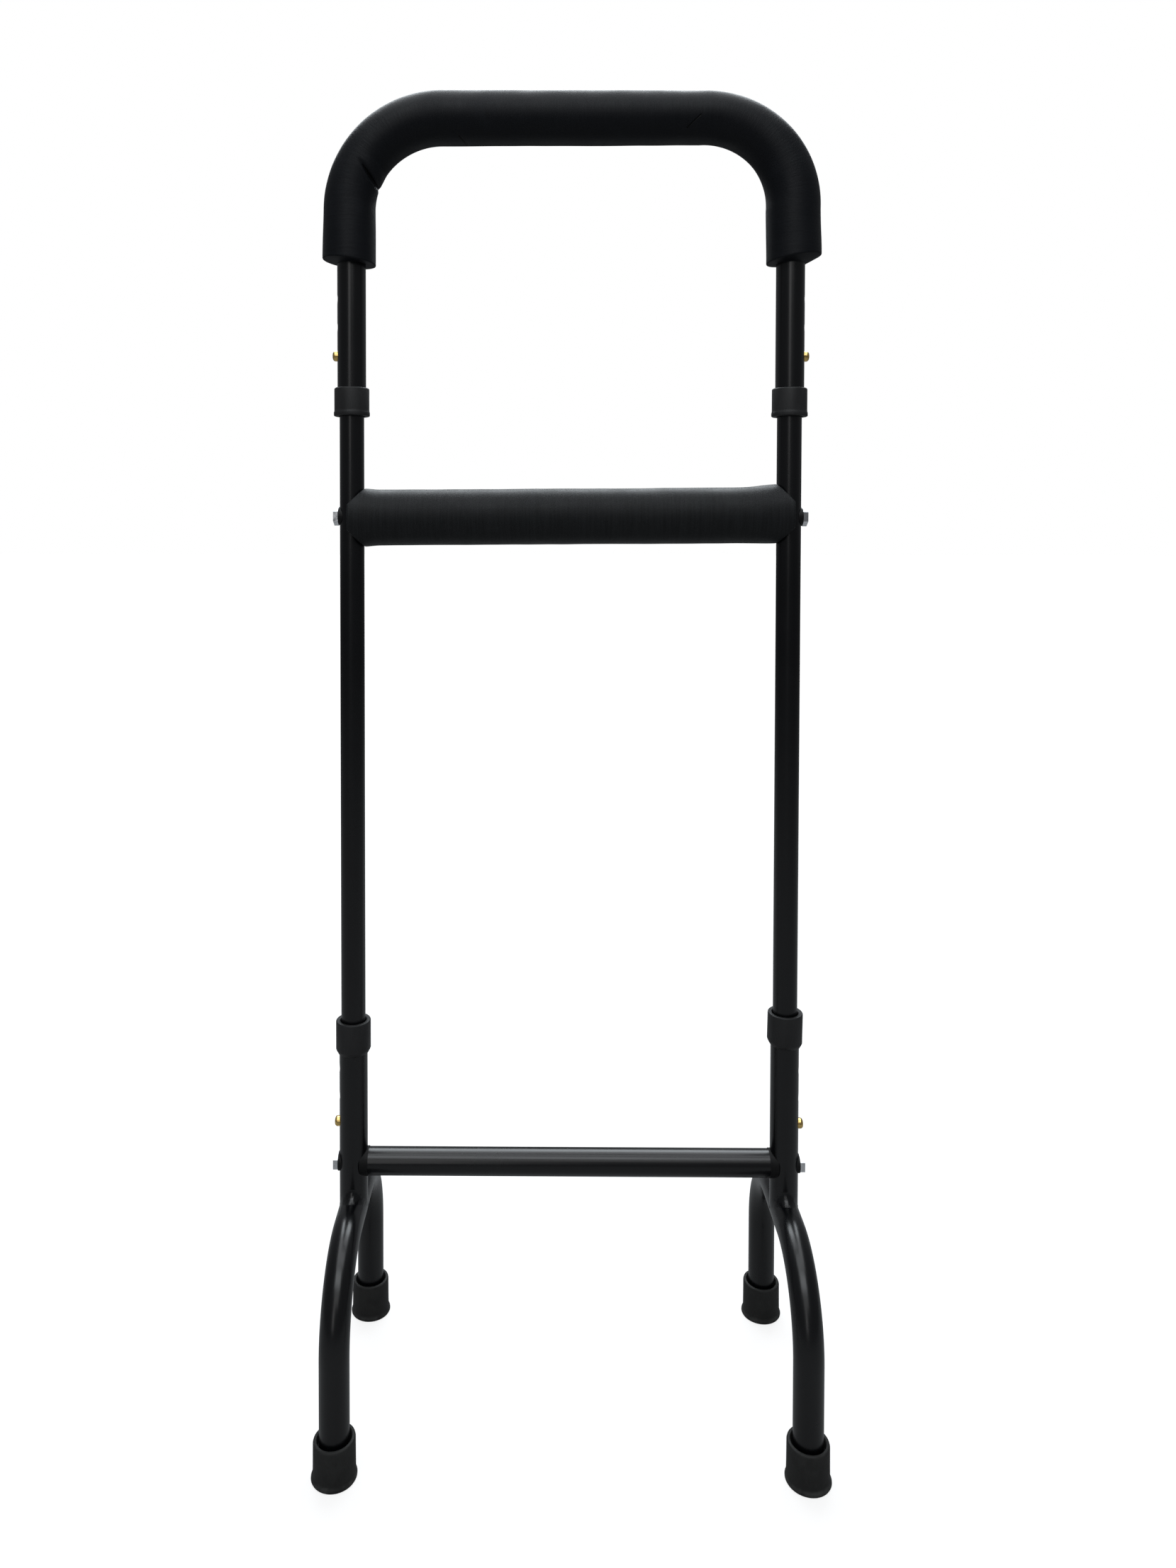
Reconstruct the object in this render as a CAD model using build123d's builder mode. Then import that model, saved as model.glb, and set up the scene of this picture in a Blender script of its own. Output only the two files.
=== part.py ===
from build123d import *
import os

# Freestanding grab frame in millimetres: +Z up, +X across the frame, +Y towards its back.
# The origin is on the floor, midway between the four feet.
# Three telescoping groups share two vertical tube lines at X = +/- half_width:
#   the base (arches, posts, lower crossbar), the middle frame (uprights, padded crossbar)
#   and the padded U-shaped handle. Spring buttons lock one group to the next.

# Tubes
outer_r = 11.1              # 7/8 in tube: handle, posts and arches
inner_r = 9.525             # 3/4 in tube: uprights and upper crossbar
lower_bar_r = 10.5          # 21 mm tube
wall = 1.5
outer_bore_r = outer_r - wall
inner_bore_r = inner_r - wall
half_width = 171.5

# Heights
arch_z = 146.0              # centreline of the arch's flat top
lower_bar_z = 182.7
lower_button_z = 215.0
post_top_z = 294.0
upright_bottom_z = 190.0
upper_bar_z = 697.3
handle_bottom_z = 778.5
upper_button_z = 822.5
upright_top_z = 852.0
foam_end_z = 894.0
handle_z = 1007.0           # centreline of the handle's top

# Base arches and feet
foot_y = 88.0
arch_bend = 61.0
leg_bottom_z = 7.0
weld_bead = 1.7
foot_r = 15.5
foot_lip_r = 16.6
foot_height = 29.0
foot_floor = 5.5
mouth_r = 12.4              # the tip's mouth stands clear of the leg
mouth_depth = 6.0
disc_r = 10.9

# Handle
handle_bend = 71.0
foam_r = 20.5
foam_bore_r = outer_r + 0.05

# Adjustment holes and spring buttons
hole_pitch = 22.0
hole_count = 3
hole_r = 4.3
button_r = 4.0
button_fit = 0.1
button_tip = 14.7           # from the tube's axis
button_dome = 2.1
rivet_r = 1.5
rivet_head_r = 2.5
rivet_head = 0.8
spring_x = 6.0              # middle of each leaf, from the tube's axis
spring_t = 0.8
spring_width = 9.0
spring_leg = 28.0
spring_tail = 6.0

# Crossbars and their fixings
saddle_web = 1.1
saddle_grip = 6.5           # how far a saddle reaches round its tube
lower_saddle_r = 10.9
upper_saddle_r = 9.5
bolt_r = 3.95
bolt_hole_r = 4.25
thread_bore_r = 4.05
bolt_reach = 13.0           # thread inside the plug
head_flats = 13.0
head_height = 4.5
head_chamfer = 0.7
washer_r = 7.2
washer_t = 0.8
plug_length = 16.0
plug_fit = 0.02
bar_foam_r = 22.0
bar_foam_bore_r = inner_r + 0.05
bar_foam_past = 2.3         # how far the foam passes the upright's axis
bar_foam_slope = 11.8       # the tapered end: its length and its drop
bar_foam_drop = 7.6
foam_gap = 0.15

# Collars
collar_bore_r = outer_r + 0.05
collar_lip_r = inner_r + 0.1
collar_lip = 3.0
upper_collar_r = 13.7
upper_collar_rim_r = 14.0
upper_collar_height = 22.0
upper_collar_rim = 3.0
lower_collar_r = 13.7
lower_collar_height = 26.0
collar_bevel = 2.0
right_collar_rise = 7.5     # the right collar is not pushed fully home

sides = {"left": -1, "right": 1}
ends = {"front": -1, "rear": 1}


def outward(side, z):
    """The plane on a tube line's axis whose normal points away from the frame."""
    return Plane(origin=(side * half_width, 0, z), x_dir=(0, 1, 0), z_dir=(side, 0, 0))


def upward(side, z, y=0.0):
    """The level plane on a tube line's axis."""
    return Plane(origin=(side * half_width, y, z), x_dir=(1, 0, 0), z_dir=(0, 0, 1))


def section(side, z, y=0.0):
    """The half-section plane through a tube line: local x is the radius, local y is up."""
    return Plane(origin=(side * half_width, y, z), x_dir=(1, 0, 0), z_dir=(0, -1, 0))


def line_axis(side, y=0.0):
    return Axis((side * half_width, y, 0), (0, 0, 1))


def save(part, name):
    part.label = name
    export_step(part, f"parts/{name}.step")


def ring(outer, bore):
    """A ring in the sketch that is open."""
    Circle(outer)
    Circle(bore, mode=Mode.SUBTRACT)


def make_base_arch(name, side):
    with BuildPart() as arch:
        with BuildLine(Plane.YZ.offset(side * half_width)):
            FilletPolyline(
                (-foot_y, leg_bottom_z), (-foot_y, arch_z), (foot_y, arch_z), (foot_y, leg_bottom_z),
                radius=arch_bend,
            )
        with BuildSketch(upward(side, leg_bottom_z, -foot_y)):
            ring(outer_r, outer_bore_r)
        sweep()
    save(arch.part, name)


def make_base_post(name, side):
    with BuildPart() as post:
        with BuildSketch(upward(side, arch_z)):
            ring(outer_r, outer_bore_r)
        extrude(amount=post_top_z - arch_z)
        # coped to sit on the arch
        with BuildSketch(Plane(origin=(side * half_width, 0, arch_z), z_dir=(0, 1, 0))):
            Circle(outer_r)
        extrude(amount=2 * outer_r, both=True, mode=Mode.SUBTRACT)
        for step in range(hole_count):
            with BuildSketch(outward(side, lower_button_z + step * hole_pitch)):
                Circle(hole_r)
            extrude(amount=2 * outer_r, mode=Mode.SUBTRACT)
        with BuildSketch(outward(side, lower_bar_z)):
            Circle(bolt_hole_r)
        extrude(amount=2 * outer_r, both=True, mode=Mode.SUBTRACT)
    save(post.part, name)


def make_weld(name, side):
    """The bead where a post meets its arch: the space within a bead's width of both tubes."""
    along_arch = Plane(origin=(side * half_width, 0, arch_z), z_dir=(0, 1, 0))
    with BuildPart() as weld:
        with BuildSketch(upward(side, arch_z - 3)):
            Circle(outer_r + weld_bead)
        extrude(amount=3 + outer_r + weld_bead)
        with BuildSketch(along_arch):
            Circle(outer_r + weld_bead)
        extrude(amount=2 * outer_r, both=True, mode=Mode.INTERSECT)
        with BuildSketch(upward(side, 0)):
            Circle(outer_r)
        extrude(amount=post_top_z, mode=Mode.SUBTRACT)
        with BuildSketch(along_arch):
            Circle(outer_r)
        extrude(amount=2 * outer_r, both=True, mode=Mode.SUBTRACT)
    save(weld.part, name)


def make_foot(name, side, y):
    """A rubber tip: a cup with a wider lip on the floor and a relieved mouth."""
    with BuildPart() as foot:
        with BuildSketch(section(side, 0, y)):
            with BuildLine():
                Polyline(
                    (0, 0), (foot_lip_r - 0.8, 0), (foot_lip_r, 0.8), (foot_lip_r, 2.6),
                    (foot_r + 0.2, 4.2), (foot_r, foot_height - 1.0), (foot_r - 1.0, foot_height),
                    (mouth_r, foot_height), (mouth_r, foot_height - mouth_depth),
                    (outer_r + 0.05, foot_height - mouth_depth - 1.0), (outer_r + 0.05, foot_floor),
                    (0, foot_floor), close=True,
                )
            make_face()
        revolve(axis=line_axis(side, y))
    save(foot.part, name)


def make_foot_disc(name, side, y):
    with BuildPart() as disc:
        with BuildSketch(upward(side, foot_floor, y)):
            Circle(disc_r)
        extrude(amount=leg_bottom_z - foot_floor)
    save(disc.part, name)


def make_upright(name, side):
    with BuildPart() as upright:
        with BuildSketch(upward(side, upright_bottom_z)):
            ring(inner_r, inner_bore_r)
        extrude(amount=upright_top_z - upright_bottom_z)
        for z in (lower_button_z, upper_button_z):
            with BuildSketch(outward(side, z)):
                Circle(button_r + button_fit)
            extrude(amount=2 * inner_r, mode=Mode.SUBTRACT)
        with BuildSketch(outward(side, upper_bar_z)):
            Circle(bolt_hole_r)
        extrude(amount=2 * inner_r, both=True, mode=Mode.SUBTRACT)
    save(upright.part, name)


def make_handle_bar():
    with BuildPart() as bar:
        with BuildLine(Plane.XZ):
            FilletPolyline(
                (-half_width, handle_bottom_z), (-half_width, handle_z),
                (half_width, handle_z), (half_width, handle_bottom_z),
                radius=handle_bend,
            )
        with BuildSketch(upward(-1, handle_bottom_z)):
            ring(outer_r, outer_bore_r)
        sweep()
        for side in sides.values():
            for step in range(hole_count):
                with BuildSketch(outward(side, upper_button_z + step * hole_pitch)):
                    Circle(hole_r)
                extrude(amount=2 * outer_r, mode=Mode.SUBTRACT)
    save(bar.part, "handle_bar")


def make_handle_foam():
    with BuildPart() as foam:
        with BuildLine(Plane.XZ):
            FilletPolyline(
                (-half_width, foam_end_z), (-half_width, handle_z),
                (half_width, handle_z), (half_width, foam_end_z),
                radius=handle_bend,
            )
        with BuildSketch(upward(-1, foam_end_z)):
            ring(foam_r, foam_bore_r)
        sweep()
    save(foam.part, "handle_foam")


def make_crossbar(name, z, tube_r, bar_r):
    """A crossbar's bare tube, between the webs of its two saddles."""
    half_length = half_width - tube_r - saddle_web
    with BuildPart() as bar:
        with BuildSketch(Plane.YZ.offset(-half_length)):
            with Locations((0, z)):
                ring(bar_r, bar_r - wall)
        extrude(amount=2 * half_length)
    save(bar.part, name)


def make_threaded_plug(name, side, z, tube_r, bar_r):
    """The threaded steel plug pressed into a crossbar's end."""
    with BuildPart() as plug:
        with BuildSketch(outward(side, z).offset(-tube_r - saddle_web - plug_length)):
            ring(bar_r - wall - plug_fit, thread_bore_r)
        extrude(amount=plug_length)
    save(plug.part, name)


def make_saddle(name, side, z, tube_r, saddle_r):
    """The cupped spacer between a crossbar's end and the tube it is bolted to."""
    with BuildPart() as saddle:
        with BuildSketch(outward(side, z).offset(-tube_r - saddle_web)):
            ring(saddle_r, bolt_hole_r)
        extrude(amount=saddle_grip)
        with BuildSketch(upward(side, z - 2 * tube_r)):
            Circle(tube_r + 0.02)
        extrude(amount=4 * tube_r, mode=Mode.SUBTRACT)
    save(saddle.part, name)


def make_washer(name, side, z, tube_r):
    """A washer curved to its tube, with a flat outer face for the bolt head."""
    with BuildPart() as washer:
        with BuildSketch(outward(side, z).offset(tube_r / 2)):
            ring(washer_r, bolt_hole_r)
        extrude(amount=tube_r / 2 + washer_t)
        with BuildSketch(upward(side, z - 2 * tube_r)):
            Circle(tube_r + 0.02)
        extrude(amount=4 * tube_r, mode=Mode.SUBTRACT)
    save(washer.part, name)


def make_bolt(name, side, z, tube_r):
    head_seat = tube_r + washer_t
    with BuildPart() as bolt:
        with BuildSketch(outward(side, z).offset(head_seat)):
            RegularPolygon(head_flats / 2, 6, major_radius=False)
        extrude(amount=head_height)
        chamfer(bolt.faces().sort_by(Axis.X)[-1 if side > 0 else 0].edges(), head_chamfer)
        with BuildSketch(outward(side, z).offset(-tube_r - saddle_web - bolt_reach)):
            Circle(bolt_r)
        extrude(amount=tube_r + saddle_web + bolt_reach + head_seat)
    save(bolt.part, name)


def make_crossbar_foam():
    """The padding sleeve, whose tapered ends lap the front and back of the uprights."""
    end_x = half_width + bar_foam_past
    with BuildPart() as foam:
        with BuildSketch(Plane(origin=(0, 0, upper_bar_z), x_dir=(1, 0, 0), z_dir=(0, -1, 0))):
            with BuildLine():
                Polyline(
                    (-end_x, bar_foam_bore_r), (-end_x, bar_foam_r - bar_foam_drop),
                    (bar_foam_slope - end_x, bar_foam_r), (end_x - bar_foam_slope, bar_foam_r),
                    (end_x, bar_foam_r - bar_foam_drop), (end_x, bar_foam_bore_r), close=True,
                )
            make_face()
        revolve(axis=Axis((0, 0, upper_bar_z), (1, 0, 0)))
        for side in sides.values():
            with BuildSketch(upward(side, upper_bar_z - 2 * bar_foam_r)):
                Circle(inner_r + foam_gap)
            extrude(amount=4 * bar_foam_r, mode=Mode.SUBTRACT)
    save(foam.part, "crossbar_foam")


def make_button(name, side, z):
    """A domed spring button with the rivet that holds it on its leaf."""
    shank_start = spring_x + spring_t / 2
    rivet_start = spring_x - spring_t / 2 - rivet_head
    with BuildPart() as button:
        with BuildSketch(outward(side, z).offset(shank_start)):
            Circle(button_r)
        extrude(amount=button_tip - shank_start)
        fillet(button.faces().sort_by(Axis.X)[-1 if side > 0 else 0].edges(), button_dome)
        with BuildSketch(outward(side, z).offset(rivet_start)):
            Circle(rivet_head_r)
        extrude(amount=rivet_head)
        with BuildSketch(outward(side, z).offset(rivet_start)):
            Circle(rivet_r)
        extrude(amount=shank_start - rivet_start)
    save(button.part, name)


def make_button_spring(name, side, z, up):
    """The U-shaped leaf inside an upright that pushes a button out. up is its bend's direction."""
    leaf_plane = Plane(
        origin=(side * half_width, 0, z), x_dir=(side, 0, 0), z_dir=(0, -side * up, 0)
    )
    with BuildPart() as spring:
        with BuildSketch(leaf_plane):
            with BuildLine():
                Line((spring_x, -spring_tail), (spring_x, spring_leg))
                ThreePointArc((spring_x, spring_leg), (0, spring_leg + spring_x), (-spring_x, spring_leg))
                Line((-spring_x, spring_leg), (-spring_x, -spring_tail))
            trace(line_width=spring_t)
        extrude(amount=spring_width / 2, both=True)
        with BuildSketch(outward(side, z)):
            Circle(rivet_r + 0.05)
        extrude(amount=2 * spring_x, mode=Mode.SUBTRACT)
    save(spring.part, name)


def make_upper_collar(name, side):
    """The cap on a handle leg's end, with a slightly wider lower rim."""
    bottom = handle_bottom_z - collar_lip
    with BuildPart() as collar:
        with BuildSketch(section(side, bottom)):
            with BuildLine():
                Polyline(
                    (collar_lip_r, 0), (upper_collar_rim_r - 0.4, 0), (upper_collar_rim_r, 0.4),
                    (upper_collar_rim_r, upper_collar_rim), (upper_collar_r, upper_collar_rim + 0.5),
                    (upper_collar_r, upper_collar_height - 0.8),
                    (upper_collar_r - 0.8, upper_collar_height), (collar_bore_r, upper_collar_height),
                    (collar_bore_r, collar_lip), (collar_lip_r, collar_lip), close=True,
                )
            make_face()
        revolve(axis=line_axis(side))
    save(collar.part, name)


def make_lower_collar(name, side, rise):
    """The cap on a post's top, bevelled below. rise is how far it stands off the post's end."""
    top = post_top_z + collar_lip + rise
    with BuildPart() as collar:
        with BuildSketch(section(side, top - lower_collar_height)):
            with BuildLine():
                Polyline(
                    (collar_bore_r, 0), (lower_collar_r - collar_bevel, 0),
                    (lower_collar_r, collar_bevel * 1.5), (lower_collar_r, lower_collar_height - 0.8),
                    (lower_collar_r - 0.8, lower_collar_height), (collar_lip_r, lower_collar_height),
                    (collar_lip_r, lower_collar_height - collar_lip),
                    (collar_bore_r, lower_collar_height - collar_lip), close=True,
                )
            make_face()
        revolve(axis=line_axis(side))
    save(collar.part, name)


os.makedirs("parts", exist_ok=True)

make_handle_bar()
make_handle_foam()
make_crossbar("lower_crossbar", lower_bar_z, outer_r, lower_bar_r)
make_crossbar("upper_crossbar", upper_bar_z, inner_r, inner_r)
make_crossbar_foam()

for hand, side in sides.items():
    make_base_arch(f"base_arch_{hand}", side)
    make_base_post(f"base_post_{hand}", side)
    make_weld(f"post_weld_{hand}", side)
    make_upright(f"upright_{hand}", side)
    make_upper_collar(f"upper_collar_{hand}", side)
    make_lower_collar(f"lower_collar_{hand}", side, right_collar_rise if side > 0 else 0.0)

    make_saddle(f"lower_saddle_{hand}", side, lower_bar_z, outer_r, lower_saddle_r)
    make_saddle(f"upper_saddle_{hand}", side, upper_bar_z, inner_r, upper_saddle_r)
    for level, z, tube_r, bar_r in (
        ("lower", lower_bar_z, outer_r, lower_bar_r), ("upper", upper_bar_z, inner_r, inner_r),
    ):
        make_threaded_plug(f"{level}_threaded_plug_{hand}", side, z, tube_r, bar_r)
        make_washer(f"{level}_washer_{hand}", side, z, tube_r)
        make_bolt(f"{level}_bolt_{hand}", side, z, tube_r)

    for level, z, up in (("lower", lower_button_z, 1), ("upper", upper_button_z, -1)):
        make_button(f"{level}_button_{hand}", side, z)
        make_button_spring(f"{level}_button_spring_{hand}", side, z, up)

    for end, way in ends.items():
        make_foot(f"foot_{end}_{hand}", side, way * foot_y)
        make_foot_disc(f"foot_disc_{end}_{hand}", side, way * foot_y)
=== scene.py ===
"""Freestanding grab frame: a padded handle and crossbar on telescoping tubes, over two arched legs."""
import math

import bmesh
import bpy
from mathutils import Matrix, Vector, noise


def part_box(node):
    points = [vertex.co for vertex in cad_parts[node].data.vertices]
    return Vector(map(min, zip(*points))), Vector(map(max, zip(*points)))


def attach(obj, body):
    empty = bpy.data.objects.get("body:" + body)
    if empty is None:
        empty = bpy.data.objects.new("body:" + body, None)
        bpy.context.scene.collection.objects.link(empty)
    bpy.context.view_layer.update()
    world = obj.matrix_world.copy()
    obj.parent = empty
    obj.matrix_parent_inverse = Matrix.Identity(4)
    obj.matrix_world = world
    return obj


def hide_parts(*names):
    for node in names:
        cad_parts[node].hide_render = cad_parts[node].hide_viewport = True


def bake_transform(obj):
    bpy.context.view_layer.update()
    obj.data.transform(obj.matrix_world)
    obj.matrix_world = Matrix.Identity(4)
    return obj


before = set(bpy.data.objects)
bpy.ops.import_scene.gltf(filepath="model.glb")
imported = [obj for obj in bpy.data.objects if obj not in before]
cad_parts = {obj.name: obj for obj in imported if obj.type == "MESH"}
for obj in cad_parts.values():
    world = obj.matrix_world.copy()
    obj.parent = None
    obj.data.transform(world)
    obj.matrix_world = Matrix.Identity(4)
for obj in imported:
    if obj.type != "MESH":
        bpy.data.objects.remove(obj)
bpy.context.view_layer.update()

bl_info = {
    "name": "Grab Frame Looks",
    "version": (1, 0, 0),
    "blender": (4, 5, 0),
    "location": "3D View > Sidebar > Grab Frame",
    "description": "Builds the foam, rubber, plastic and metal of a grab frame round its tubes",
    "category": "Object",
}

MM = 0.001
SIDES = {"left": -1, "right": 1}
ENDS = {"front": -1, "rear": 1}
WELD_STEPS, WELD_ROWS = 120, 10                 # points round a weld, and rows from the post to the arch


def middle(node):
    """The middle of a tube or fitting of the frame."""
    low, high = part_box(node)
    return (low + high) / 2


def half_size(node, axis):
    """Half the size of a tube or fitting of the frame along one axis."""
    low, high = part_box(node)
    return (high[axis] - low[axis]) / 2


LINE_X = middle("upright_right").x              # each tube line's distance from the middle
OUTER_R = half_size("base_post_right", 1)
INNER_R = half_size("upright_right", 1)
SLEEVE_R = half_size("handle_foam", 1)
SLEEVE_END_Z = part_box("handle_foam")[0].z
HANDLE_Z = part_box("handle_foam")[1].z - SLEEVE_R
BAR_Z = middle("crossbar_foam").z
BAR_R = half_size("crossbar_foam", 1)
BAR_END_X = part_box("crossbar_foam")[1].x
BAR_LEAN = 0.0072                               # how much the crossbar's foam rises to the right
FOOT_Y = middle("foot_rear_right").y
SNUG = 0.05 * MM                                # left round a tube by whatever fits tightly on it
CLEAR_R = INNER_R + 0.15 * MM                   # the foam's cut ends stop this far from an upright's axis

# the fold inside the handle foam's left bend, and the two small cuts in its skin, in the frame's plane
FOLD_FOOT = Vector((-0.1492, 0, 0.9515))
FOLD_TIP = Vector((-0.1640, 0, 0.9715))
CUTS = (
    ((-0.0865, 0, 0.9900), (-0.0780, 0, 0.9840)),
    ((0.0885, 0, 0.9945), (0.0985, 0, 1.0030)),
)


# ---------------------------------------------------------------- settings


class GrabFrameFoam(bpy.types.PropertyGroup):
    colour: bpy.props.FloatVectorProperty(
        name="Foam Colour", description="The foam's charcoal skin", subtype="COLOR",
        default=(0.0060, 0.0069, 0.0088), min=0.0, max=1.0,
    )
    bar_colour: bpy.props.FloatVectorProperty(
        name="Bar Foam Colour", description="The crossbar foam's skin, rubbed paler by hands",
        subtype="COLOR", default=(0.0132, 0.0142, 0.0152), min=0.0, max=1.0,
    )
    handle_bend: bpy.props.FloatProperty(
        name="Handle Bend", description="Centreline radius of the handle's two bends",
        default=0.071, unit="LENGTH",
    )
    swell: bpy.props.FloatProperty(
        name="Swell", description="How far the foam's skin wanders from a true tube",
        default=0.00035, unit="LENGTH", precision=5,
    )
    crease_depth: bpy.props.FloatProperty(
        name="Crease Depth", description="Depth of the fold inside the left bend",
        default=0.0030, unit="LENGTH", precision=4,
    )
    cut_width: bpy.props.FloatProperty(
        name="Cut Width", description="Width of the small cuts in the handle's foam",
        default=0.0009, unit="LENGTH", precision=5,
    )
    bar_cut: bpy.props.FloatProperty(
        name="Bar Cut", description="How far the crossbar foam's ends slant back above and below",
        default=0.0107, unit="LENGTH", precision=4,
    )


class GrabFrameFinish(bpy.types.PropertyGroup):
    coat: bpy.props.FloatVectorProperty(
        name="Powder Coat", description="The tubes' satin black coat", subtype="COLOR",
        default=(0.0016, 0.0018, 0.0025), min=0.0, max=1.0,
    )
    rubber: bpy.props.FloatVectorProperty(
        name="Rubber", description="The feet's charcoal rubber", subtype="COLOR",
        default=(0.0215, 0.0217, 0.0210), min=0.0, max=1.0,
    )
    collar: bpy.props.FloatVectorProperty(
        name="Collar Plastic", description="The collars' moulded dark grey plastic", subtype="COLOR",
        default=(0.0205, 0.0206, 0.0213), min=0.0, max=1.0,
    )
    brass: bpy.props.FloatVectorProperty(
        name="Button Brass", description="The spring buttons' yellow metal", subtype="COLOR",
        default=(0.86, 0.60, 0.22), min=0.0, max=1.0,
    )
    zinc: bpy.props.FloatVectorProperty(
        name="Bolt Zinc", description="The bolts' bright plating", subtype="COLOR",
        default=(0.80, 0.81, 0.83), min=0.0, max=1.0,
    )


class GrabFrameStage(bpy.types.PropertyGroup):
    camera_at: bpy.props.FloatVectorProperty(
        name="Camera", description="Where the camera stands", subtype="XYZ", unit="LENGTH",
        default=(-0.0225, -0.8923, 0.6868),
    )
    camera_pitch: bpy.props.FloatProperty(
        name="Pitch", description="How far the camera looks down", subtype="ANGLE",
        default=math.radians(1.517),
    )
    camera_yaw: bpy.props.FloatProperty(
        name="Yaw", description="How far the camera is turned to the right", subtype="ANGLE",
        default=math.radians(-0.415),
    )
    camera_roll: bpy.props.FloatProperty(
        name="Roll", description="How far the camera leans", subtype="ANGLE",
        default=math.radians(-0.093),
    )
    lens: bpy.props.FloatProperty(
        name="Lens", description="Focal length on a 36 mm sensor", default=26.04, min=1.0,
    )
    shift: bpy.props.FloatVectorProperty(
        name="Shift", description="How far the view is shifted to the right and up", size=2,
        default=(0.03495, -0.143),
    )
    floor_size: bpy.props.FloatProperty(
        name="Floor", description="Side of the pale floor", default=60.0, unit="LENGTH",
    )
    floor_colour: bpy.props.FloatVectorProperty(
        name="Floor Colour", description="The studio's pale floor", subtype="COLOR",
        default=(0.26, 0.26, 0.26), min=0.0, max=1.0,
    )


# ---------------------------------------------------------------- finishes


def new_finish(name, **constants):
    """A new material, its node tree and its shader, with the shader's constant sockets set."""
    finish = bpy.data.materials.new(name)
    finish.use_nodes = True
    tree = finish.node_tree
    shader = tree.nodes["Principled BSDF"]
    for socket, value in constants.items():
        shader.inputs[socket.replace("_", " ")].default_value = value
    return finish, tree, shader


def add(tree, kind, inputs, **settings):
    """A node with its settings made and its inputs linked or filled in."""
    made = tree.nodes.new(kind)
    for name, value in settings.items():
        setattr(made, name, value)
    for socket, value in inputs.items():
        if isinstance(value, bpy.types.NodeSocket):
            tree.links.new(value, made.inputs[socket])
        else:
            made.inputs[socket].default_value = value
    return made


def object_coordinates(tree):
    return add(tree, "ShaderNodeTexCoord", {}).outputs["Object"]


def stretched(tree, coordinates, scale):
    return add(tree, "ShaderNodeMapping", {"Vector": coordinates, "Scale": scale}).outputs["Vector"]


def grain(tree, coordinates, scale, detail=2.0, roughness=0.5):
    """Noise from 0 to 1. scale is in lumps per metre."""
    made = add(
        tree, "ShaderNodeTexNoise",
        {"Vector": coordinates, "Scale": scale, "Detail": detail, "Roughness": roughness},
    )
    return made.outputs["Fac"]


def cells(tree, coordinates, scale):
    """Distance to the nearest of many scattered points, for pores and moulded grain."""
    made = add(tree, "ShaderNodeTexVoronoi", {"Vector": coordinates, "Scale": scale})
    return made.outputs["Distance"]


def between(tree, factor, low, high, start=0.3, end=0.7):
    """A factor's range from start to end, made to run from low to high."""
    made = add(
        tree, "ShaderNodeMapRange",
        {"Value": factor, "From Min": start, "From Max": end, "To Min": low, "To Max": high},
        interpolation_type="SMOOTHSTEP",
    )
    return made.outputs["Result"]


def mixed(tree, factor, first, second):
    """A colour between two others."""
    made = add(tree, "ShaderNodeMix", {"Factor": factor}, data_type="RGBA")
    for socket, value in ((made.inputs[6], first), (made.inputs[7], second)):
        if isinstance(value, bpy.types.NodeSocket):
            tree.links.new(value, socket)
        else:
            socket.default_value = (*value, 1.0)
    return made.outputs[2]


def summed(tree, first, second, share):
    """first plus a share of second."""
    made = add(
        tree, "ShaderNodeMath", {0: second, 1: share, 2: first}, operation="MULTIPLY_ADD",
    )
    return made.outputs[0]


def cut(tree, at, start, end, width):
    """1 along a short slit across a skin, on its front and its back alike, and 0 away from it."""
    start, end = Vector(start), Vector(end)
    along = end - start
    flat = add(tree, "ShaderNodeVectorMath", {0: at, 1: (1.0, 0.0, 1.0)}, operation="MULTIPLY").outputs[0]
    ahead = add(tree, "ShaderNodeVectorMath", {0: flat, 1: start}, operation="SUBTRACT").outputs[0]
    dot = add(
        tree, "ShaderNodeVectorMath", {0: ahead, 1: along / along.length_squared}, operation="DOT_PRODUCT",
    ).outputs["Value"]
    share = add(tree, "ShaderNodeClamp", {"Value": dot}).outputs[0]
    nearest = add(tree, "ShaderNodeVectorMath", {0: along, "Scale": share}, operation="SCALE").outputs[0]
    gap = add(tree, "ShaderNodeVectorMath", {0: ahead, 1: nearest}, operation="DISTANCE").outputs["Value"]
    return between(tree, gap, 1.0, 0.0, 0.2 * width, 0.75 * width)


def relief(tree, height, depth):
    """A bump whose full height is depth, in metres."""
    return add(tree, "ShaderNodeBump", {"Height": height, "Distance": depth}).outputs["Normal"]


def tinted(colour, factor):
    return tuple(min(1.0, part * factor) for part in colour)


def link(tree, shader, **sockets):
    for socket, value in sockets.items():
        tree.links.new(value, shader.inputs[socket.replace("_", " ")])


def powder_coat(colour):
    """Satin black powder coat: fine orange peel and a little handling dullness."""
    finish, tree, shader = new_finish("powder coat", Specular_IOR_Level=0.5)
    at = object_coordinates(tree)
    cloud = grain(tree, at, 22.0, 3.0)
    peel = grain(tree, at, 640.0, 1.0)
    waves = grain(tree, at, 120.0, 1.0)
    link(
        tree, shader,
        Base_Color=mixed(tree, between(tree, cloud, 0.0, 1.0), tinted(colour, 0.88), tinted(colour, 1.15)),
        Roughness=between(tree, summed(tree, cloud, peel, 0.12), 0.24, 0.29, 0.4, 0.85),
        Normal=relief(tree, summed(tree, peel, waves, 0.8), 0.000008),
    )
    return finish


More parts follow.
